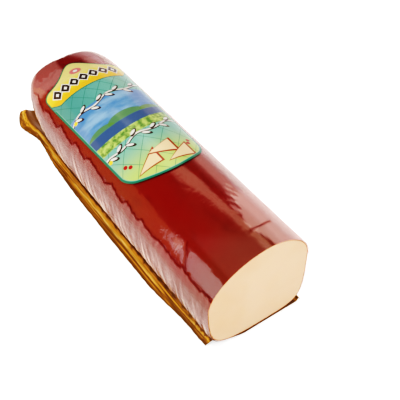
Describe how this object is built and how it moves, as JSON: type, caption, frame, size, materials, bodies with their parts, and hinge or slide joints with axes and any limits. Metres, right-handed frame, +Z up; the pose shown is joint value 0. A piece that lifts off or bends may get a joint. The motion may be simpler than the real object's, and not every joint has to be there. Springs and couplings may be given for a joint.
{
  "type": "smoked cheese",
  "caption": "Cut log of smoked cheese with a flat-bottomed loaf section and a rounded end, in clear film with a front label, on a crimped foil backing strip.",
  "frame": {"origin": "centre of the overall box at the backing strip's underside, where the log rests", "axes": "+Y along the log from the cut face to the rounded end, +X across it, +Z up"},
  "size_m": [0.0906, 0.3124, 0.0785],
  "materials": {
    "cheese": "smoked dark red-brown rind, cream paste at the cut",
    "film": "clear shrunk film with fine creases",
    "label": "glossy printed label",
    "backing": "gold foil laminate, crimped at its edges"
  },
  "bodies": {
    "root": {"cheese": "cheese", "film": "film", "label": "label", "backing": "backing"}
  },
  "joints": []
}
